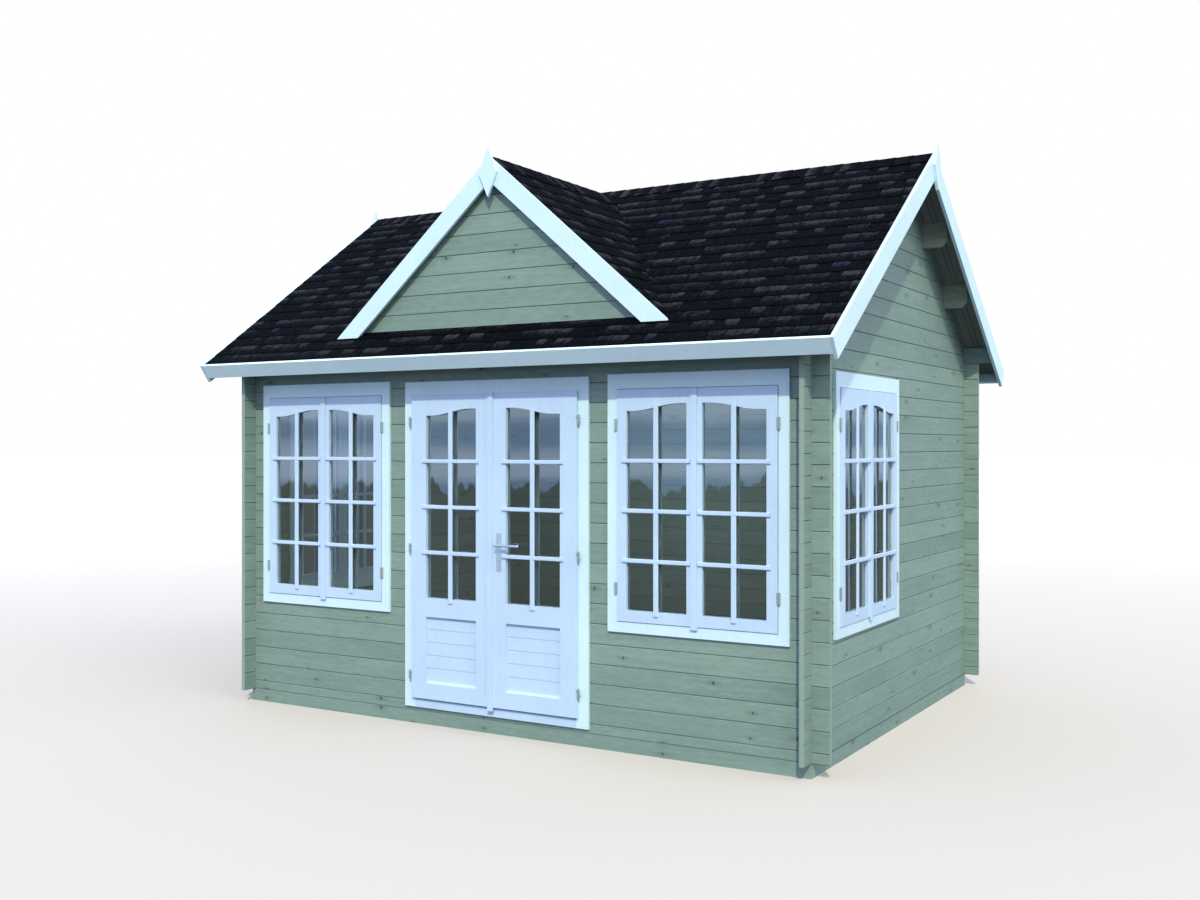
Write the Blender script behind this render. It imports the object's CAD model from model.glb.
"""Looks of a log-built garden shed: stained logs, white trim, shingles, window bars and ironmongery.

Metres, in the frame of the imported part: +X to the right, the front faces -Y, +Z up, the ground at zero.
"""

import math
import random

import bmesh
import bpy
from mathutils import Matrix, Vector


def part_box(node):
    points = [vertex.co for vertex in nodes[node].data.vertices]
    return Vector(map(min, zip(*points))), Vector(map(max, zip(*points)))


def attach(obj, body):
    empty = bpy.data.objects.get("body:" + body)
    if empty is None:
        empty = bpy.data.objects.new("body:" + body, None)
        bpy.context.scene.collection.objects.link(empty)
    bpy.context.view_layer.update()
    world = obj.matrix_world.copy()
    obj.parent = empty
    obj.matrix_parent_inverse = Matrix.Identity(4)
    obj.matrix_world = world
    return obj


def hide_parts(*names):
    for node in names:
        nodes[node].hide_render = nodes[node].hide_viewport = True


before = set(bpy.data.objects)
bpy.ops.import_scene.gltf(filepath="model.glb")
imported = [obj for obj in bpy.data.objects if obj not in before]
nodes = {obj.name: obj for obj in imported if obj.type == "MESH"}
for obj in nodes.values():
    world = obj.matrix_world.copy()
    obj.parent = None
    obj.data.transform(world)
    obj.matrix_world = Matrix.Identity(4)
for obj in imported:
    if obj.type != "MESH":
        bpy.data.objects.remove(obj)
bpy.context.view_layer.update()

X, Y, Z = Vector((1, 0, 0)), Vector((0, 1, 0)), Vector((0, 0, 1))
HOUSE, LEFT_LEAF, RIGHT_LEAF = "house", "left_leaf", "right_leaf"

# Measures of the part: height of a log, heights of two log joints, depth of the panes' grooves, roof pitches
LOG_H = 0.114
FRONT_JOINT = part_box("front_sill_log")[1].z
GABLE_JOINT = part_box("left_wall")[0].z
GLASS_GROOVE = 0.008
ROOF_PITCH = math.radians(35.2)
DORMER_PITCH = math.radians(40.8)
# Vertices closer than this are one
WELD = 1e-5
# Seed of the draws for the shingle tabs
SEED = 20


# Camera, solved from the photograph's edges
PHOTO_W = 1200
FOCAL_PX = 1261.2
HORIZON_RISE_PX = 4.47
CAMERA_AT = Vector((4.387, -7.629, 1.718))
CAMERA_YAW = math.radians(30.795)
SENSOR_MM = 36.0


def make_camera():
    data = bpy.data.cameras.new("camera")
    data.sensor_fit = "HORIZONTAL"
    data.sensor_width = SENSOR_MM
    data.lens = FOCAL_PX / PHOTO_W * SENSOR_MM
    data.shift_y = -HORIZON_RISE_PX / PHOTO_W
    camera = bpy.data.objects.new("camera", data)
    camera.location = CAMERA_AT
    camera.rotation_euler = (math.pi / 2, 0, CAMERA_YAW)
    bpy.context.scene.collection.objects.link(camera)
    bpy.context.scene.camera = camera


# Node trees
class Tree:
    """A node tree and a short way to add and link its nodes."""

    def __init__(self, tree):
        self.tree = tree
        self.tree.nodes.clear()

    def add(self, kind, **settings):
        node = self.tree.nodes.new(kind)
        for key, value in settings.items():
            setattr(node, key, value)
        return node

    def feed(self, socket, value):
        if isinstance(value, bpy.types.NodeSocket):
            self.tree.links.new(value, socket)
        else:
            socket.default_value = value

    def split(self, kind, value):
        """The parts of a vector or a colour."""
        node = self.add(kind)
        self.feed(node.inputs[0], value)
        return node.outputs

    def coordinates(self, kind):
        return self.split("ShaderNodeSeparateXYZ", self.add("ShaderNodeTexCoord").outputs[kind])

    def math(self, operation, a, b=0.0, c=0.0):
        node = self.add("ShaderNodeMath", operation=operation)
        for socket, value in zip(node.inputs, (a, b, c)):
            self.feed(socket, value)
        return node.outputs[0]

    def plus(self, a, b):
        return self.math("ADD", a, b)

    def minus(self, a, b):
        return self.math("SUBTRACT", a, b)

    def times(self, a, b):
        return self.math("MULTIPLY", a, b)

    def scaled(self, value, factor, offset):
        return self.math("MULTIPLY_ADD", value, factor, offset)

    def spread(self, value, amount, middle=0.5):
        """A noise value about its middle, times an amount."""
        return self.times(self.minus(value, middle), amount)

    def length(self, a, b):
        return self.math("SQRT", self.plus(self.math("POWER", a, 2.0), self.math("POWER", b, 2.0)))

    def to_edge(self, local):
        """Distance to the nearer end of a stretch, for a place between 0 and 1."""
        return self.math("MINIMUM", local, self.minus(1.0, local))

    def vector(self, x, y=0.0, z=0.0):
        node = self.add("ShaderNodeCombineXYZ")
        for socket, value in zip(node.inputs, (x, y, z)):
            self.feed(socket, value)
        return node.outputs[0]

    def stretched(self, x, y, z, scales):
        """A point with each of its coordinates scaled."""
        return self.vector(*(self.times(c, k) for c, k in zip((x, y, z), scales)))

    def smooth(self, value, low, high):
        """0 at low, 1 at high, smooth between."""
        node = self.add("ShaderNodeMapRange", interpolation_type="SMOOTHSTEP", clamp=True)
        for name, given in (("Value", value), ("From Min", low), ("From Max", high)):
            self.feed(node.inputs[name], given)
        return node.outputs["Result"]

    def noise(self, vector, scale=1.0, detail=3.0, roughness=0.55):
        node = self.add("ShaderNodeTexNoise")
        given = (("Vector", vector), ("Scale", scale), ("Detail", detail), ("Roughness", roughness))
        for name, value in given:
            self.feed(node.inputs[name], value)
        return node.outputs["Fac"]

    def random(self, value):
        node = self.add("ShaderNodeTexWhiteNoise", noise_dimensions="1D")
        self.feed(node.inputs["W"], value)
        return node.outputs["Value"]

    def mix(self, factor, a, b):
        node = self.add("ShaderNodeMix", data_type="RGBA")
        self.feed(node.inputs["Factor"], factor)
        colours = [s for s in node.inputs if s.type == "RGBA"]
        self.feed(colours[0], a)
        self.feed(colours[1], b)
        return [s for s in node.outputs if s.type == "RGBA"][0]


class Paint(Tree):
    """One material with a principled shader."""

    def __init__(self, name):
        self.material = bpy.data.materials.new(name)
        self.material.use_nodes = True
        super().__init__(self.material.node_tree)
        out = self.add("ShaderNodeOutputMaterial")
        self.shader = self.add("ShaderNodeBsdfPrincipled")
        self.tree.links.new(self.shader.outputs[0], out.inputs["Surface"])

    def set(self, name, value):
        self.feed(self.shader.inputs[name], value)

    def position(self):
        return self.coordinates("Object")

    def normal(self):
        return self.coordinates("Normal")

    def bump(self, height, distance, strength):
        node = self.add("ShaderNodeBump")
        self.feed(node.inputs["Height"], height)
        node.inputs["Distance"].default_value = distance
        node.inputs["Strength"].default_value = strength
        self.set("Normal", node.outputs[0])


def darker(colour, share):
    return [c * share for c in colour[:3]] + [1]


# Light: a warm sun, a wide soft fill from the right, a dim lamp in the room and a pale sky over dark ground
SUN_TO = Vector((0.56, -1.0, 1.0))
SUN_STRENGTH = 3.05
SUN_COLOUR = (1.0, 0.95, 0.72)
SUN_ANGLE = math.radians(1.6)
FILL_TO = Vector((1.0, -0.2, 0.5))
FILL_STRENGTH = 1.35
FILL_COLOUR = (1.0, 0.91, 0.74)
FILL_ANGLE = math.radians(60)
ROOM_AT = Vector((0, 0.2, 1.7))
ROOM_WATTS = 29.0
ROOM_COLOUR = (0.96, 1.0, 1.10)
ROOM_R = 0.5
# The sky as it lights surfaces. The edges in the sky are sines of a direction's height
SKY_LIGHT = (0.82, 0.90, 1.24, 1)
GROUND_LIGHT = (0.190, 0.210, 0.270, 1)
LIGHT_EDGE = (-0.03, 0.01)
# The sky as panes and metal mirror it: clouds, low banks of cloud, a line of trees and the ground.
# It is duller towards the back
SKY_CLOUD = (1.75, 2.10, 2.60, 1)
SKY_CLEAR = (0.85, 1.32, 2.05, 1)
CLOUD_SCALES = (3.0, 3.0, 42.0)
CLOUD_EDGE = (0.38, 0.62)
SKY_DETAIL = 4.0
BANK_LIGHT = (2.50, 3.20, 4.30, 1)
BANK_DARK = (1.10, 1.70, 2.85, 1)
BANK_STEP = 0.045
BANK_DRIFT = 0.03
BANK_AT = 0.031
BANK_SCALES = (5.0, 5.0, 30.0)
BANK_EDGE = (-0.9, 0.9)
BANK_TOP = (0.05, 0.09)
TREE_RISE = 0.06
TREE_SCALES = (32.0, 32.0, 0.0)
TREE_DETAIL = 6.0
TREE_ROUGHNESS = 0.65
GROUND_SEEN = (0.45, 0.52, 0.50, 1)
SEEN_EDGE = (-0.0325, -0.0295)
DULL_SHARE = 0.55
DULL_EDGE = (-0.2, 0.4)
# The sky through the panes, and the backdrop
OUTSIDE = (0.05, 0.056, 0.055, 1)
BACKDROP = (1, 1, 1, 1)
# Floor of the picture, lighter far away
FLOOR_SIZE = 400.0
FLOOR_NEAR = (0.540, 0.510, 0.468, 1)
FLOOR_FAR = (0.700, 0.690, 0.640, 1)
FLOOR_FADE = (3.0, 24.0)
FLOOR_ROUGHNESS = 0.9


def add_sun(name, towards, strength, colour, angle):
    data = bpy.data.lights.new(name, "SUN")
    data.energy = strength
    data.color = colour
    data.angle = angle
    sun = bpy.data.objects.new(name, data)
    sun.rotation_euler = towards.to_track_quat("Z", "Y").to_euler()
    bpy.context.scene.collection.objects.link(sun)


def add_room_lamp():
    data = bpy.data.lights.new("room", "POINT")
    data.energy = ROOM_WATTS
    data.color = ROOM_COLOUR
    data.shadow_soft_size = ROOM_R
    lamp = bpy.data.objects.new("room", data)
    lamp.location = ROOM_AT
    lamp.visible_camera = False
    lamp.visible_glossy = False
    lamp.visible_transmission = False
    bpy.context.scene.collection.objects.link(lamp)


def mirrored_sky(t, x, y, z):
    clouds = t.noise(t.stretched(x, y, z, CLOUD_SCALES), detail=SKY_DETAIL)
    sky = t.mix(t.smooth(clouds, *CLOUD_EDGE), SKY_CLEAR, SKY_CLOUD)
    drift = t.noise(t.stretched(x, y, z, BANK_SCALES), detail=SKY_DETAIL)
    lifted = t.minus(t.scaled(drift, BANK_DRIFT, z), BANK_AT + BANK_DRIFT / 2)
    waves = t.math("COSINE", t.times(lifted, 2 * math.pi / BANK_STEP))
    banks = t.mix(t.smooth(waves, *BANK_EDGE), BANK_DARK, BANK_LIGHT)
    sky = t.mix(t.smooth(z, *BANK_TOP), banks, sky)
    trees = t.noise(t.stretched(x, y, z, TREE_SCALES), detail=TREE_DETAIL, roughness=TREE_ROUGHNESS)
    over_trees = t.scaled(t.minus(trees, 0.5), TREE_RISE, z)
    seen = t.mix(t.smooth(over_trees, *SEEN_EDGE), GROUND_SEEN, sky)
    return t.mix(t.times(t.smooth(y, *DULL_EDGE), DULL_SHARE), seen, OUTSIDE)


def make_sky():
    world = bpy.data.worlds.new("sky")
    world.use_nodes = True
    bpy.context.scene.world = world
    t = Tree(world.node_tree)
    x, y, z = t.coordinates("Generated")
    light = t.mix(t.smooth(z, *LIGHT_EDGE), GROUND_LIGHT, SKY_LIGHT)
    path = t.add("ShaderNodeLightPath").outputs
    colour = t.mix(path["Is Glossy Ray"], light, mirrored_sky(t, x, y, z))
    colour = t.mix(path["Is Transmission Ray"], colour, OUTSIDE)
    colour = t.mix(path["Is Camera Ray"], colour, BACKDROP)
    background = t.add("ShaderNodeBackground")
    t.feed(background.inputs["Color"], colour)
    t.feed(t.add("ShaderNodeOutputWorld").inputs["Surface"], background.outputs[0])


def make_light():
    add_sun("sun", SUN_TO, SUN_STRENGTH, SUN_COLOUR, SUN_ANGLE)
    add_sun("fill", FILL_TO, FILL_STRENGTH, FILL_COLOUR, FILL_ANGLE)
    add_room_lamp()
    make_sky()
    bpy.context.scene.view_settings.view_transform = "Standard"


def make_floor():
    """A pale floor that takes shadows but throws no light back on the house."""
    half = FLOOR_SIZE / 2
    mesh = bpy.data.meshes.new("floor")
    corners = [(-half, -half, 0), (half, -half, 0), (half, half, 0), (-half, half, 0)]
    mesh.from_pydata(corners, [], [(0, 1, 2, 3)])
    floor = bpy.data.objects.new("floor", mesh)
    floor.visible_diffuse = False
    floor.visible_glossy = False
    floor.visible_transmission = False
    bpy.context.scene.collection.objects.link(floor)
    paint = Paint("floor_paint")
    x, y, _ = paint.position()
    far = paint.smooth(paint.length(x, y), *FLOOR_FADE)
    paint.set("Base Color", paint.mix(far, FLOOR_NEAR, FLOOR_FAR))
    paint.set("Roughness", FLOOR_ROUGHNESS)
    mesh.materials.append(paint.material)


# What the CAD nodes say
def solids_of(node):
    """Boxes of the separate solids in a CAD node, sorted by their low corners."""
    mesh = bmesh.new()
    mesh.from_mesh(nodes[node].data)
    bmesh.ops.remove_doubles(mesh, verts=mesh.verts, dist=WELD)
    boxes = []
    todo = set(mesh.verts)
    while todo:
        stack = [todo.pop()]
        found = []
        while stack:
            vert = stack.pop()
            found.append(vert.co.copy())
            for edge in vert.link_edges:
                other = edge.other_vert(vert)
                if other in todo:
                    todo.remove(other)
                    stack.append(other)
        boxes.append((Vector(map(min, *found)), Vector(map(max, *found))))
    mesh.free()
    return sorted(boxes, key=lambda box: tuple(round(c, 4) for c in box[0]))


def door_panels():
    """The low corner and the width of each lower door panel, which is as wide as the pane over it."""
    panels = []
    for side in ("left", "right"):
        pane_low, pane_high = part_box(f"door_glass_{side}")
        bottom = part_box(f"door_leaf_{side}")[0].z + PANEL_LOW
        corner = Vector((pane_low.x + GLASS_GROOVE, 0, bottom))
        panels.append((corner, pane_high.x - pane_low.x - 2 * GLASS_GROOVE))
    return panels


# Stained logs: colours
STAIN_LIGHT = (0.206, 0.298, 0.258, 1)
STAIN_DARK = (0.135, 0.209, 0.181, 1)
BEAM_STAIN = ((0.185, 0.225, 0.165, 1), (0.300, 0.335, 0.240, 1))
STAIN_JOINT = (0.045, 0.064, 0.060, 1)
KNOT_CORE = (0.026, 0.036, 0.034, 1)
KNOT_HALO = (0.108, 0.160, 0.132, 1)
END_GRAIN = (0.232, 0.318, 0.268, 1)
# Each log has its own tone, and its grain starts elsewhere
LOG_SEED = 11.3
LOG_SHIFT = 9.0
# Knots: the stretch that may hold one, its size and its shape
KNOT_EVERY = 0.44
KNOT_R = 0.0072
KNOT_MIN = 0.45
KNOT_SHARE = 0.50
KNOT_SLANT = 0.7
KNOT_WIDE, KNOT_TALL = 1.10, 0.72
KNOT_EDGE = (1.05, 0.7)
RAGGED_SCALE = 130.0
RAGGED_DETAIL = 2.0
RAGGED_GAIN = (1.2, 0.4)
STREAK_WIDE = 0.30
STREAK_EDGE = (2.6, 0.7)
CORE_SHARE, HALO_SHARE = 0.93, 0.62
# Layers of the grain: scales along the log, across it and up, then their shares in the tone
SWAY_SCALES = (1.3, 0.0, 3.0)
GRAIN_SCALES = (1.1, 26.0, 46.0)
FIBRE_SCALES = (5.0, 160.0, 330.0)
MOTTLE_SCALES = (13.0, 40.0, 52.0)
PATCH_SCALES = (1.7, 1.0, 5.0)
GRAIN_BEND, GRAIN_SWAY = 0.55, 0.05
GRAIN_SHARE, FIBRE_SHARE, MOTTLE_SHARE, LOG_SHARE, PATCH_SHARE = 0.75, 0.30, 0.85, 0.24, 0.55
TONE_RANGE = (0.12, 0.98)
# Sawn ends: where they begin by the normal, the pith's height in the log, and the rings
CUT_EDGE = (0.6, 0.9)
PITH_AT = 0.2
RING_SCALE = 1400.0
RING_SHADE = (0.12, 0.2)
# Joint lines, fainter on the sawn ends and uneven along the log
JOINT_LINE = 0.0026
JOINT_SOFT = 0.3
JOINT_FAINT = (-0.6, 0.85)
UNEVEN_SCALE = 5.0
UNEVEN_EDGE = (0.3, 0.6)
UNEVEN_GAIN = (0.45, 0.55)
LOG_GLOSS = (0.18, 0.50)
GRAIN_RELIEF, FIBRE_RELIEF = 0.7, 0.4
LOG_BUMP = (0.0016, 0.55)


def log_knots(p, at, along, height):
    """One chance of a knot in each stretch of each log.

    Gives the knot itself, the streak that it draws along the grain, and the height over its middle.
    """
    cell = p.math("DIVIDE", along, KNOT_EVERY)
    knots = p.add("ShaderNodeTexVoronoi", voronoi_dimensions="2D")
    p.feed(knots.inputs["Vector"], p.vector(cell, height))
    knots.inputs["Scale"].default_value = 1.0
    middle = p.split("ShaderNodeSeparateXYZ", knots.outputs["Position"])
    draw = p.split("ShaderNodeSeparateColor", knots.outputs["Color"])
    du = p.times(p.minus(cell, middle[0]), KNOT_EVERY)
    dz = p.times(p.minus(height, middle[1]), LOG_H)
    there = p.math("LESS_THAN", draw[0], KNOT_SHARE)
    size = p.scaled(draw[1], KNOT_R, KNOT_R * KNOT_MIN)
    slant = p.scaled(draw[2], 2 * KNOT_SLANT, -KNOT_SLANT)
    wide = p.times(p.scaled(dz, slant, du), KNOT_WIDE)
    ragged = p.noise(at, RAGGED_SCALE, RAGGED_DETAIL)
    far = p.times(p.length(wide, p.times(dz, KNOT_TALL)), p.scaled(ragged, *RAGGED_GAIN))
    core = p.times(there, p.smooth(p.math("DIVIDE", far, size), *KNOT_EDGE))
    streak = p.math("DIVIDE", p.length(p.times(du, STREAK_WIDE), dz), size)
    halo = p.times(there, p.smooth(streak, *STREAK_EDGE))
    return core, halo, dz


def log_paint(name, along, joint, stain=(STAIN_DARK, STAIN_LIGHT), lines=True):
    """Stain over sawn spruce: grain along one axis, a tone for each log, knots and dark joints."""
    p = Paint(name)
    x, y, z = p.position()
    u, across = (x, y) if along == "x" else (y, x)
    height = p.math("DIVIDE", p.minus(z, joint), LOG_H)
    course = p.math("FLOOR", height)
    local = p.minus(height, course)
    tone = p.random(p.plus(course, LOG_SEED))
    shifted = p.scaled(tone, LOG_SHIFT, u)
    core, halo, dz = log_knots(p, p.vector(u, across, z), shifted, height)

    # The grain sways, and bends round the knots
    sway = p.noise(p.stretched(shifted, across, z, SWAY_SCALES))
    bent_z = p.plus(z, p.times(p.times(halo, dz), GRAIN_BEND))
    bent_z = p.scaled(sway, GRAIN_SWAY, bent_z)
    grain = p.noise(p.stretched(shifted, across, bent_z, GRAIN_SCALES), detail=4.0, roughness=0.6)
    fibre = p.noise(p.stretched(shifted, across, bent_z, FIBRE_SCALES), detail=2.0, roughness=0.5)
    mottle = p.noise(p.stretched(shifted, across, bent_z, MOTTLE_SCALES), roughness=0.65)
    patch = p.noise(p.stretched(shifted, across, z, PATCH_SCALES), detail=2.0)
    share = p.plus(p.times(grain, GRAIN_SHARE), p.times(fibre, FIBRE_SHARE))
    share = p.plus(share, p.spread(mottle, MOTTLE_SHARE))
    share = p.plus(share, p.spread(tone, LOG_SHARE))
    share = p.plus(share, p.spread(patch, PATCH_SHARE))
    colour = p.mix(p.smooth(share, *TONE_RANGE), *stain)

    # Rings on the sawn ends, knots on the sides
    facing = p.normal()["X" if along == "x" else "Y"]
    cut = p.smooth(p.math("ABSOLUTE", facing), *CUT_EDGE)
    side = p.minus(1.0, cut)
    from_pith = p.length(p.times(p.minus(local, PITH_AT), LOG_H), across)
    rings = p.math("SINE", p.times(from_pith, RING_SCALE))
    colour = p.mix(cut, colour, p.mix(p.scaled(rings, *RING_SHADE), END_GRAIN, STAIN_DARK))
    colour = p.mix(p.times(p.times(halo, side), HALO_SHARE), colour, KNOT_HALO)
    colour = p.mix(p.times(p.times(core, side), CORE_SHARE), colour, KNOT_CORE)
    if lines:
        line = p.smooth(p.times(p.to_edge(local), LOG_H), JOINT_LINE, JOINT_LINE * JOINT_SOFT)
        uneven = p.smooth(p.noise(p.vector(shifted, height), UNEVEN_SCALE), *UNEVEN_EDGE)
        line = p.times(p.times(line, p.scaled(cut, *JOINT_FAINT)), p.scaled(uneven, *UNEVEN_GAIN))
        colour = p.mix(line, colour, STAIN_JOINT)
    p.set("Base Color", colour)
    p.set("Roughness", p.scaled(grain, *LOG_GLOSS))
    relief = p.plus(p.times(grain, GRAIN_RELIEF), p.times(fibre, FIBRE_RELIEF))
    p.bump(p.minus(relief, core), *LOG_BUMP)
    return p.material


# Painted boards
TRIM_WHITE = (0.576, 0.786, 0.866, 1)
FASCIA_WHITE = (0.70, 0.93, 0.99, 1)
LEAF_WHITE = (0.470, 0.633, 0.828, 1)
PAINT_SHADE = 0.90
BROAD_SCALE = 2.6
BRUSH_SCALES = (60.0, 60.0, 9.0)
BROAD_SHARE, BRUSH_SHARE = 0.6, 0.4
PAINT_RANGE = (0.3, 0.75)
PAINT_GLOSS = (0.16, 0.32)
PAINT_BUMP = (0.0005, 0.5)
# The boards of the lower door panels meet in grooves
PANEL_LOW = 0.110
PANEL_H = 0.394
PANEL_BOARDS = 5
PANEL_LINE = 0.0034
PANEL_SOFT = 0.4
PANEL_SHADE = 0.70


def board_paint(name, colour, panels=()):
    """Opaque paint on planed boards: faint brush marks, uneven gloss and the grooves of door panels."""
    p = Paint(name)
    x, y, z = p.position()
    broad = p.noise(p.vector(x, y, z), BROAD_SCALE)
    brush = p.noise(p.stretched(x, y, z, BRUSH_SCALES))
    share = p.plus(p.times(broad, BROAD_SHARE), p.times(brush, BRUSH_SHARE))
    painted = p.mix(p.smooth(share, *PAINT_RANGE), darker(colour, PAINT_SHADE), colour)
    board_h = PANEL_H / PANEL_BOARDS
    for low, width in panels:
        inside = p.math("COMPARE", x, low.x + width / 2, width / 2)
        place = p.math("DIVIDE", p.minus(z, low.z), board_h)
        groove = p.math("MAXIMUM", p.math("ROUND", place), 1.0)
        groove = p.math("MINIMUM", groove, PANEL_BOARDS - 1.0)
        off = p.times(p.math("ABSOLUTE", p.minus(place, groove)), board_h)
        line = p.times(p.smooth(off, PANEL_LINE, PANEL_LINE * PANEL_SOFT), inside)
        painted = p.mix(line, painted, darker(colour, PANEL_SHADE))
    p.set("Base Color", painted)
    p.set("Roughness", p.scaled(broad, *PAINT_GLOSS))
    p.bump(brush, *PAINT_BUMP)
    return p.material


# Bare boards of the roof and the floor, with dark lines between them
BOARD_W = 0.090
BOARD_LINE = 0.003
BOARD_SOFT = 0.3
BOARD_SEED = 5.7
BOARD_SHIFT = 8.0
BOARD_SCALES = (1.6, 55.0, 2.0)
BOARD_TONE = 0.4
BOARD_RANGE = (0.2, 0.8)
BOARD_SHADE = 0.25
LINE_SHARE = 0.8
BOARD_ROUGHNESS = 0.6
BOARD_RELIEF = 0.5
BOARD_BUMP = (0.002, 0.6)
ROOF_WOOD = ((0.106, 0.116, 0.101, 1), (0.164, 0.174, 0.152, 1))
FLOOR_WOOD = ((0.22, 0.17, 0.12, 1), (0.34, 0.28, 0.20, 1))


def plank_paint(name, tones, along):
    """Boards that run along one axis and repeat across another, each with its own tone."""
    p = Paint(name)
    x, y, z = p.position()
    u, across = (y, x) if along == "y" else (x, y)
    place = p.math("DIVIDE", across, BOARD_W)
    board = p.math("FLOOR", place)
    tone = p.random(p.plus(board, BOARD_SEED))
    shifted = p.scaled(tone, BOARD_SHIFT, u)
    grain = p.noise(p.stretched(shifted, across, z, BOARD_SCALES), detail=4.0, roughness=0.6)
    share = p.scaled(p.minus(tone, 0.5), BOARD_TONE, grain)
    colour = p.mix(p.smooth(share, *BOARD_RANGE), *tones)
    edge = p.times(p.to_edge(p.minus(place, board)), BOARD_W)
    line = p.smooth(edge, BOARD_LINE, BOARD_LINE * BOARD_SOFT)
    p.set("Base Color", p.mix(p.times(line, LINE_SHARE), colour, darker(tones[0], BOARD_SHADE)))
    p.set("Roughness", BOARD_ROUGHNESS)
    p.bump(p.minus(p.times(grain, BOARD_RELIEF), line), *BOARD_BUMP)
    return p.material


# Shingles: colours, then the layers of granules, wear and speckle. A few tabs have a hue of their own
SHINGLE_DARK = (0.0010, 0.0015, 0.0028, 1)
SHINGLE_LIGHT = (0.028, 0.030, 0.038, 1)
SHINGLE_PURPLE = (0.020, 0.017, 0.040, 1)
SHINGLE_BLUE = (0.012, 0.020, 0.028, 1)
SHINGLE_EDGE = (0.0007, 0.0008, 0.0012, 1)
PURPLE_FROM, BLUE_UP_TO = 0.94, 0.08
HUE_SEED = 731.0
GRANULE_SCALE, GRANULE_SHARE = 420.0, 0.40
WORN_SCALE, WORN_EDGE = 26.0, (0.12, 0.58)
SPECKLE_SCALE, SPECKLE_SHARE, SPECKLE_MIDDLE = 42.0, 1.7, 0.53
GRAIN_ROUGHNESS = 0.7
FADE_EDGE = (0.16, 0.74)
SHINGLE_RANGE = (-0.05, 1.0)
RIM_EDGE = (0.14, 0.05)
RIM_SHARE = 0.85
SHINGLE_ROUGHNESS = 0.88
SHINGLE_SPECULAR = 0.03
SHINGLE_BUMP = (0.0012, 0.7)
# Attributes of the tabs: the tone of each, and 1 at its upper end to 0 at its lower one
TONE = "tone"
FADE = "fade"


def shingle_paint():
    """Mineral granules on bitumen: each tab has its own tone, lightest near its top, over a dark edge."""
    p = Paint("shingle_paint")
    tone = p.add("ShaderNodeAttribute", attribute_name=TONE).outputs["Fac"]
    fade = p.add("ShaderNodeAttribute", attribute_name=FADE).outputs["Fac"]
    at = p.vector(*p.position())
    granules = p.noise(at, GRANULE_SCALE, detail=2.0, roughness=GRAIN_ROUGHNESS)
    worn = p.noise(at, WORN_SCALE, detail=2.0)
    speckle = p.noise(at, SPECKLE_SCALE, roughness=GRAIN_ROUGHNESS)
    share = p.times(tone, p.smooth(worn, *WORN_EDGE))
    share = p.times(share, p.smooth(fade, *FADE_EDGE))
    share = p.plus(share, p.spread(granules, GRANULE_SHARE))
    share = p.plus(share, p.spread(speckle, SPECKLE_SHARE, SPECKLE_MIDDLE))
    hue = p.random(p.times(tone, HUE_SEED))
    light = p.mix(p.math("GREATER_THAN", hue, PURPLE_FROM), SHINGLE_LIGHT, SHINGLE_PURPLE)
    light = p.mix(p.math("LESS_THAN", hue, BLUE_UP_TO), light, SHINGLE_BLUE)
    colour = p.mix(p.smooth(share, *SHINGLE_RANGE), SHINGLE_DARK, light)
    rim = p.times(p.smooth(fade, *RIM_EDGE), RIM_SHARE)
    p.set("Base Color", p.mix(rim, colour, SHINGLE_EDGE))
    p.set("Roughness", SHINGLE_ROUGHNESS)
    p.set("Specular IOR Level", SHINGLE_SPECULAR)
    p.bump(granules, *SHINGLE_BUMP)
    return p.material


# Glass
GLASS_CLEAR = (0.83, 0.905, 0.895, 1)
GLASS_DUSTY = (0.76, 0.845, 0.835, 1)
GLASS_IOR = 1.7
DUST_SCALE = 6.0
DUST_EDGE = (0.3, 0.8)


def glass_paint():
    """Clear panes, a little dusty, that show the room dimly."""
    p = Paint("glass_paint")
    dust = p.noise(p.vector(*p.position()), DUST_SCALE)
    p.set("Base Color", p.mix(p.smooth(dust, *DUST_EDGE), GLASS_CLEAR, GLASS_DUSTY))
    p.set("Transmission Weight", 1.0)
    p.set("IOR", GLASS_IOR)
    p.set("Roughness", 0.0)
    return p.material


# Metal: dark and light tones, and how metallic it is
HANDLE_METAL = ((0.32, 0.38, 0.47, 1), (0.44, 0.50, 0.58, 1), 0.70)
HINGE_METAL = ((0.19, 0.25, 0.245, 1), (0.28, 0.35, 0.345, 1), 0.25)
METAL_SCALES = (900.0, 900.0, 60.0)
METAL_GLOSS = (0.18, 0.26)
METAL_BUMP = (0.0002, 0.4)


def metal_paint(name, dark, light, metallic):
    """Satin metal with fine brush lines."""
    p = Paint(name)
    brushed = p.noise(p.stretched(*p.position(), METAL_SCALES), detail=2.0)
    p.set("Base Color", p.mix(brushed, dark, light))
    p.set("Metallic", metallic)
    p.set("Roughness", p.scaled(brushed, *METAL_GLOSS))
    p.bump(brushed, *METAL_BUMP)
    return p.material


# Materials, and the CAD nodes that have them
FRONT_LOGS = log_paint("front_log_paint", "x", FRONT_JOINT)
GABLE_LOGS = log_paint("gable_log_paint", "y", GABLE_JOINT)
BASE_LOGS = log_paint("base_paint", "x", GABLE_JOINT, lines=False)
BEAMS = log_paint("beam_paint", "x", GABLE_JOINT, BEAM_STAIN, lines=False)
TRIM = board_paint("trim_paint", TRIM_WHITE)
FASCIA = board_paint("fascia_paint", FASCIA_WHITE)
LEAF = board_paint("leaf_paint", LEAF_WHITE)
DOOR = board_paint("door_paint", LEAF_WHITE, door_panels())
ROOF_BOARDS = plank_paint("roof_board_paint", ROOF_WOOD, "y")
FLOOR_BOARDS = plank_paint("floor_board_paint", FLOOR_WOOD, "x")
SHINGLE = shingle_paint()
GLASS = glass_paint()
HANDLE = metal_paint("handle_metal", *HANDLE_METAL)
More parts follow.
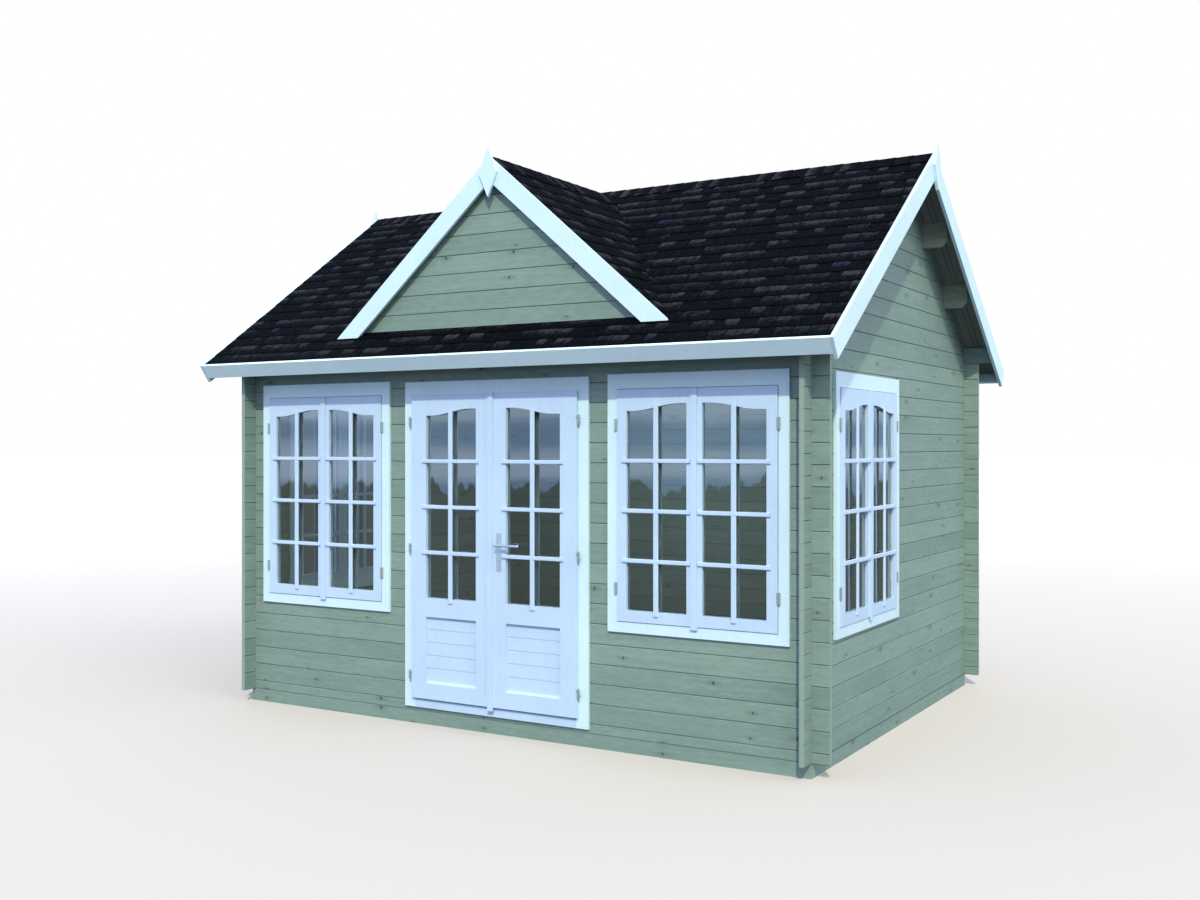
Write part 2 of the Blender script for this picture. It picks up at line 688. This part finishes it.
HINGE = metal_paint("hinge_metal", *HINGE_METAL)

PAINT_OF = [
    (FRONT_LOGS, ["front_sill_log", "front_wall_left", "front_wall_right", "front_wall_head",
                  "back_wall", "eave_logs", "dormer_wall"]),
    (GABLE_LOGS, ["left_wall", "right_wall", "floor_bearers"]),
    (BASE_LOGS, ["base_beams"]),
    (BEAMS, ["purlins"]),
    (ROOF_BOARDS, ["roof_boards_front", "roof_boards_back", "dormer_boards_left", "dormer_boards_right"]),
    (FASCIA, ["fascias"]),
    (TRIM, ["barge_left_front", "barge_left_back", "barge_right_front", "barge_right_back",
            "gable_finials", "dormer_barge_left", "dormer_barge_right", "dormer_finial",
            "front_window_casings", "gable_window_casings", "door_casing"]),
    (LEAF, ["front_window_sashes", "gable_window_sashes", "window_cover_strips",
            "door_cover_strip", "door_sill"]),
    (DOOR, ["door_leaf_left", "door_leaf_right"]),
    (GLASS, ["front_window_glass", "gable_window_glass", "door_glass_left", "door_glass_right"]),
    (HANDLE, ["handle_plates", "handle_lever"]),
    (HINGE, ["window_hinges", "hinge_pins", "hinge_knuckles_left", "hinge_knuckles_right"]),
    (FLOOR_BOARDS, ["floor_boards"]),
    (SHINGLE, ["shingles_front", "shingles_back", "dormer_shingles"]),
]


def dress_cad():
    for material, names in PAINT_OF:
        for name in names:
            nodes[name].data.materials.clear()
            nodes[name].data.materials.append(material)


# Mesh helpers
def new_piece(name, mesh, material, body, stands_for=()):
    """Make a piece of a bmesh, with its material, its body and the CAD nodes that it replaces."""
    bmesh.ops.recalc_face_normals(mesh, faces=mesh.faces)
    data = bpy.data.meshes.new(name)
    mesh.to_mesh(data)
    mesh.free()
    piece = bpy.data.objects.new(name, data)
    bpy.context.scene.collection.objects.link(piece)
    data.materials.append(material)
    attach(piece, body)
    if stands_for:
        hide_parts(*stands_for)


def add_loft(mesh, *outlines):
    """A closed solid through two or more outlines with the same number of points."""
    rings = [[mesh.verts.new(point) for point in outline] for outline in outlines]
    mesh.faces.new(rings[0])
    mesh.faces.new(rings[-1][::-1])
    for low, high in zip(rings, rings[1:]):
        for k in range(len(low)):
            after = (k + 1) % len(low)
            mesh.faces.new((low[k], high[k], high[after], low[after]))
    return rings


def add_prism(mesh, outline, way):
    add_loft(mesh, outline, [point + way for point in outline])


# Shingle tabs, laid in rows on each slope
TAB_W = 0.105
TAB_WIDTHS = (0.6, 0.8, 1.0, 1.0, 1.3)
TAB_STARTS = (0.0, 0.25, 0.5, 0.75)
EXPOSURE = 0.113
TAB_LAP = 0.028
TAB_SLOT = 0.006
TAB_T = 0.0042
LAYER_T = 0.006
TAB_RISE = 0.0008
TAB_RAGGED = 0.003
MIN_TAB = 0.02
# Share of the tabs that are light, and the ranges of tones
LIGHT_TABS = 0.58
LIGHT_TONES = (0.4, 1.0)
DARK_TONES = (0.0, 0.15)
# Ridge caps
CAP_HALF = 0.115
CAP_T = 0.003
CAP_RISE = 0.0035
# Tabs this far inside the dormer are left out, and the dormer's slopes run this far into the main roof
INSIDE_BACK = 0.06
INSIDE_UNDER = 0.05
DORMER_PAST = 0.05


class Slope:
    """A plane of the roof: its top corner, its directions and its size along the ridge and down."""

    def __init__(self, corner, along, down, width, length):
        self.corner, self.along, self.down = corner, along, down
        self.out = along.cross(down)
        if self.out.z < 0:
            self.out = -self.out
        self.width, self.length = width, length

    def at(self, a, u, v=0.0):
        return self.corner + self.along * a + self.down * u + self.out * v


class Tabs:
    """A mesh of tabs, each with its tone and its fade."""

    def __init__(self):
        self.mesh = bmesh.new()
        self.tone, self.fade = (self.mesh.verts.layers.float.new(name) for name in (TONE, FADE))

    def add(self, upper, lower, tone):
        for ring, fade in zip(add_loft(self.mesh, upper, lower), (1.0, 0.0)):
            for vert in ring:
                vert[self.tone] = tone
                vert[self.fade] = fade

    def add_tab(self, slope, a0, a1, u0, u1, tone, lift):
        """One tab: a thin wedge that is thickest at its lower edge."""
        ends = []
        for u, top, under in ((u0, -TAB_T - TAB_RISE, -LAYER_T), (u1, lift, lift - TAB_T)):
            ends.append([slope.at(a, u, v) for a, v in ((a0, top), (a1, top), (a1, under), (a0, under))])
        self.add(*ends, tone)

    def add_rows(self, slope, skip=None):
        for row in range(math.ceil(slope.length / EXPOSURE)):
            low = slope.length - row * EXPOSURE
            high = max(low - EXPOSURE - TAB_LAP, 0.0)
            a = -random.choice(TAB_STARTS) * TAB_W - (row % 2) * TAB_W / 2
            while a < slope.width:
                width = TAB_W * random.choice(TAB_WIDTHS)
                a0 = max(a, 0.0)
                a1 = min(a + width - TAB_SLOT, slope.width)
                a += width
                if a1 - a0 < MIN_TAB:
                    continue
                tone = tab_tone()
                edge = low - (random.uniform(0, TAB_RAGGED) if row else 0.0)
                lift = random.uniform(-TAB_RISE, TAB_RISE)
                if skip and skip(slope.at((a0 + a1) / 2, (low + high) / 2)):
                    continue
                self.add_tab(slope, a0, a1, high, edge, tone, lift)
        # The layer under the tabs
        self.add_tab(slope, 0.0, slope.width, 0.0, slope.length, 0.0, -TAB_T)

    def add_ridge_caps(self, start, way, length, downs):
        """Bent caps along a ridge: each lies over the end of the one before."""
        for k in range(math.ceil(length / EXPOSURE)):
            a0 = max(length - (k + 1) * EXPOSURE - TAB_LAP, 0.0)
            a1 = length - k * EXPOSURE
            tone = tab_tone()
            ends = []
            for a, rise in ((a0, 0.0), (a1, CAP_RISE)):
                top = start + way * a + Z * (rise + CAP_T)
                upper = [top + downs[0] * CAP_HALF, top, top + downs[1] * CAP_HALF]
                ends.append(upper + [point - Z * CAP_T for point in upper[::-1]])
            self.add(*ends, tone)

    def clip_below(self, slope):
        """Cut away what lies under the surface of a slope and close the cuts."""
        mesh = self.mesh
        bmesh.ops.bisect_plane(mesh, geom=mesh.verts[:] + mesh.edges[:] + mesh.faces[:],
                               plane_co=slope.at(0, 0, -TAB_T), plane_no=slope.out, clear_inner=True)
        bmesh.ops.holes_fill(mesh, edges=[e for e in mesh.edges if e.is_boundary], sides=0)

    def finish(self, name, stands_for=()):
        new_piece(name, self.mesh, SHINGLE, HOUSE, stands_for)


def tab_tone():
    return random.uniform(*(LIGHT_TONES if random.random() < LIGHT_TABS else DARK_TONES))


def roof_slope(node, side):
    """The plane of a main slope, from its shingle layer's box: side is -1 in front and 1 at the back."""
    low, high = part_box(node)
    eave_y = low.y if side < 0 else high.y
    ridge = Vector((low.x, 0, high.z))
    down = Vector((0, side * math.cos(ROOF_PITCH), -math.sin(ROOF_PITCH)))
    return Slope(ridge, X, down, high.x - low.x, abs(eave_y) / math.cos(ROOF_PITCH))


def make_roof():
    front = roof_slope("shingles_front", -1)
    back = roof_slope("shingles_back", 1)
    low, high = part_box("dormer_shingles")
    depth = high.y - low.y
    dormer_ridge = Vector((0, low.y, high.z))
    dormer_length = (high.z - low.z) / math.sin(DORMER_PITCH) + DORMER_PAST

    def inside_dormer(point):
        roof = dormer_ridge.z - abs(point.x) * math.tan(DORMER_PITCH)
        return point.y > low.y + INSIDE_BACK and roof > point.z + INSIDE_UNDER

    tabs = Tabs()
    tabs.add_rows(front, inside_dormer)
    tabs.finish("shingle_tabs_front", ["shingles_front"])
    tabs = Tabs()
    tabs.add_rows(back)
    tabs.finish("shingle_tabs_back", ["shingles_back"])
    tabs = Tabs()
    tabs.add_ridge_caps(front.corner, X, front.width, (front.down, back.down))
    tabs.finish("ridge_caps")

    tabs = Tabs()
    downs = [Vector((side * math.cos(DORMER_PITCH), 0, -math.sin(DORMER_PITCH))) for side in (-1, 1)]
    for down in downs:
        tabs.add_rows(Slope(dormer_ridge, Y, down, depth, dormer_length))
    tabs.clip_below(front)
    tabs.finish("dormer_tabs", ["dormer_shingles"])
    tabs = Tabs()
    tabs.add_ridge_caps(dormer_ridge, Y, depth, downs)
    tabs.clip_below(front)
    tabs.finish("dormer_ridge_caps")


# Window bars: the upright ones lie a little deeper than the level ones
BAR_V = 0.030
BAR_H = 0.024
BAR_T = 0.010
BAR_DEEPER = 0.001
BAR_LAP = 0.024
BAR_CHAMFER = 0.0035
ARCH_RISE = 0.039
ROWS = 4


class Pane:
    """A pane seen from one side: its lower corner on the frame's face, the way across, and its size."""

    def __init__(self, box, face, way, out):
        low, high = box
        start = low if way.dot(high - low) > 0 else high
        corner = Vector((start.x, start.y, low.z + GLASS_GROOVE)) + way * GLASS_GROOVE
        self.corner = corner + out * (face - corner.dot(out))
        self.way, self.out = way, out
        self.width = abs((high - low).dot(way)) - 2 * GLASS_GROOVE
        self.low = high.z - low.z - 2 * GLASS_GROOVE - ARCH_RISE


def add_bar(mesh, start, end, across, out, width, depth):
    """A bar with chamfered front edges that lies on a face."""
    half = width / 2
    slim = half - BAR_CHAMFER
    flat = depth - BAR_CHAMFER
    shape = ((-half, 0), (-half, flat), (-slim, depth), (slim, depth), (half, flat), (half, 0))
    add_prism(mesh, [start + across * a + out * d for a, d in shape], end - start)


def add_pane_bars(mesh, pane):
    middle = pane.corner + pane.way * (pane.width / 2)
    top = pane.low + ARCH_RISE / 2 + BAR_LAP / 2
    add_bar(mesh, middle - Z * BAR_LAP, middle + Z * top, pane.way, pane.out, BAR_V, BAR_T - BAR_DEEPER)
    for k in range(1, ROWS):
        left = pane.corner + Z * (pane.low * k / ROWS)
        right = left + pane.way * (pane.width + BAR_LAP)
        add_bar(mesh, left - pane.way * BAR_LAP, right, Z, pane.out, BAR_H, BAR_T)


def add_two_sides(mesh, box, frames, way, out):
    """The bars of one pane, on the outer and the inner face of its frame."""
    for facing in (out, -out):
        face = max(corner.dot(facing) for frame_box in frames for corner in frame_box)
        add_pane_bars(mesh, Pane(box, face, way, facing))


def make_windows():
    sashes = solids_of("front_window_sashes")
    panes = solids_of("front_window_glass")
    mesh = bmesh.new()
    for pair in (panes[0:2], panes[2:4]):
        for box, way in zip(pair, (X, -X)):
            add_two_sides(mesh, box, sashes, way, -Y)
    new_piece("front_window_bars", mesh, LEAF, HOUSE)

    sashes = solids_of("gable_window_sashes")
    panes = solids_of("gable_window_glass")
    mesh = bmesh.new()
    for out in (-X, X):
        pair = [box for box in panes if box[0].dot(out) > 0]
        own = [box for box in sashes if box[0].dot(out) > 0]
        for box, way in zip(pair, (Y, -Y)):
            add_two_sides(mesh, box, own, way, out)
    new_piece("gable_window_bars", mesh, LEAF, HOUSE)

    for side, way, body in (("left", X, LEFT_LEAF), ("right", -X, RIGHT_LEAF)):
        mesh = bmesh.new()
        for box in solids_of(f"door_glass_{side}"):
            add_two_sides(mesh, box, [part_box(f"door_leaf_{side}")], way, -Y)
        new_piece(f"door_bars_{side}", mesh, LEAF, body)


# Door hinges: a barrel in two halves, each with a stem that is screwed into the frame or the leaf
HINGE_R = 0.007
HINGE_HALF = 0.040
BARREL_HALF = 0.029
BARREL_PLAY = 0.0005
BARREL_SIDES = 24
STEM_R = 0.0035
STEM_SIDES = 12
STEM_AT = 0.5
# Radius and height of a half barrel, as shares of its radius and length
BARREL_SHAPE = ((0.0, 0.0), (0.90, 0.0), (1.0, 0.03), (1.0, 0.80), (0.90, 0.84), (0.90, 0.88),
                (0.97, 0.91), (0.80, 0.96), (0.45, 0.99), (0.0, 1.0))


def add_turned(mesh, start, way, outline, sides):
    """A solid of revolution: outline gives radii and distances along way from start, from axis to axis."""
    across = way.orthogonal().normalized()
    beside = way.cross(across)
    turns = [2 * math.pi * k / sides for k in range(sides)]
    spokes = [across * math.cos(t) + beside * math.sin(t) for t in turns]
    rings = []
    for r, h in outline:
        middle = start + way * h
        points = [middle + spoke * r for spoke in spokes] if r else [middle]
        rings.append([mesh.verts.new(point) for point in points])
    for low, high in zip(rings, rings[1:]):
        for k in range(sides):
            after = (k + 1) % sides
            corners = [low[k % len(low)], low[after % len(low)], high[after % len(high)], high[k % len(high)]]
            mesh.faces.new(list(dict.fromkeys(corners)))


def add_half_hinge(mesh, axis, way, stem, stem_len):
    barrel = [(r * HINGE_R, h * (BARREL_HALF - BARREL_PLAY)) for r, h in BARREL_SHAPE]
    add_turned(mesh, axis + way * BARREL_PLAY, way, barrel, BARREL_SIDES)
    rod = [(0.0, 0.0), (STEM_R, 0.0), (STEM_R, stem_len), (0.0, stem_len)]
    add_turned(mesh, axis + way * (BARREL_HALF * STEM_AT), stem, rod, STEM_SIDES)


def make_door_hinges():
    trim_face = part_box("door_casing")[0].y
    leaf_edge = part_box("door_leaf_right")[1].x
    frame_mesh = bmesh.new()
    leaf_meshes = {-1: bmesh.new(), 1: bmesh.new()}
    for low, high in solids_of("hinge_pins"):
        side = 1 if low.x > 0 else -1
        inner = min(abs(low.x), abs(high.x))
        axis = Vector((side * (inner + HINGE_R), low.y + HINGE_R, low.z + HINGE_HALF))
        add_half_hinge(frame_mesh, axis, -Z, Y, trim_face - axis.y + STEM_R)
        add_half_hinge(leaf_meshes[side], axis, Z, X * -side, abs(axis.x) - leaf_edge + STEM_R)
    new_piece("door_hinge_pins", frame_mesh, HINGE, HOUSE, ["hinge_pins"])
    for side, name, body in ((-1, "left", LEFT_LEAF), (1, "right", RIGHT_LEAF)):
        knuckles = [f"hinge_knuckles_{name}"]
        new_piece(f"door_hinge_barrels_{name}", leaf_meshes[side], HINGE, body, knuckles)


# Planks of the roof and the floor, with a groove between each two on the side that shows
PLANK_GAP = 0.0015
PLANK_CHAMFER = 0.003
ROOF_BOARD_T = 0.018


def plank_shape(width, back, face):
    """Outline of a board from its middle: its width, and the heights of its back and of its grooved face."""
    half = (width - PLANK_GAP) / 2
    slim = half - PLANK_CHAMFER
    rim = face + math.copysign(PLANK_CHAMFER, back - face)
    return ((-half, back), (-half, rim), (-slim, face), (slim, face), (half, rim), (half, back))


def make_roof_planks():
    for side, name in ((-1, "front"), (1, "back")):
        slope = roof_slope(f"shingles_{name}", side)
        count = round(slope.width / BOARD_W)
        pitch = slope.width / count
        shape = plank_shape(pitch, -LAYER_T, -LAYER_T - ROOF_BOARD_T)
        mesh = bmesh.new()
        for k in range(count):
            middle = (k + 0.5) * pitch - PLANK_GAP / 2
            # Plumb at the ridge, square at the eaves
            ridge = [slope.at(middle + a, -v * math.tan(ROOF_PITCH), v) for a, v in shape]
            eave = [slope.at(middle + a, slope.length, v) for a, v in shape]
            add_loft(mesh, ridge, eave)
        new_piece(f"roof_planks_{name}", mesh, ROOF_BOARDS, HOUSE, [f"roof_boards_{name}"])


def make_floor_planks():
    low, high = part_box("floor_boards")
    count = round((high.y - low.y) / BOARD_W)
    pitch = (high.y - low.y) / count
    shape = plank_shape(pitch, 0.0, high.z - low.z)
    mesh = bmesh.new()
    for k in range(count):
        start = Vector((low.x, low.y + (k + 0.5) * pitch, low.z))
        add_prism(mesh, [start + Y * a + Z * d for a, d in shape], X * (high.x - low.x))
    new_piece("floor_planks", mesh, FLOOR_BOARDS, HOUSE, ["floor_boards"])


# How much of the lower corner of a purlin's end is cut off
PURLIN_CUT = 0.042


def make_purlins():
    """Purlins as in the CAD, with their tops along the roof and the lower corners of their ends cut off."""
    fall = math.tan(ROOF_PITCH)
    mesh = bmesh.new()
    for low, high in solids_of("purlins"):
        at_ridge = low.y < 0 < high.y
        inner = 0.0 if at_ridge else min(abs(low.y), abs(high.y))
        top = [(y, high.z - (abs(y) - inner) * fall)
               for y in ([high.y, 0.0, low.y] if at_ridge else [high.y, low.y])]
        sections = []
        for x, cut in ((low.x, PURLIN_CUT), (low.x + PURLIN_CUT, 0.0),
                       (high.x - PURLIN_CUT, 0.0), (high.x, PURLIN_CUT)):
            bottom = [(low.y, low.z + cut), (high.y, low.z + cut)]
            sections.append([Vector((x, y, z)) for y, z in bottom + top])
        add_loft(mesh, *sections)
    new_piece("purlin_beams", mesh, BEAMS, HOUSE, ["purlins"])


make_camera()
make_light()
make_floor()
dress_cad()
random.seed(SEED)
make_roof()
make_windows()
make_door_hinges()
make_roof_planks()
make_floor_planks()
make_purlins()
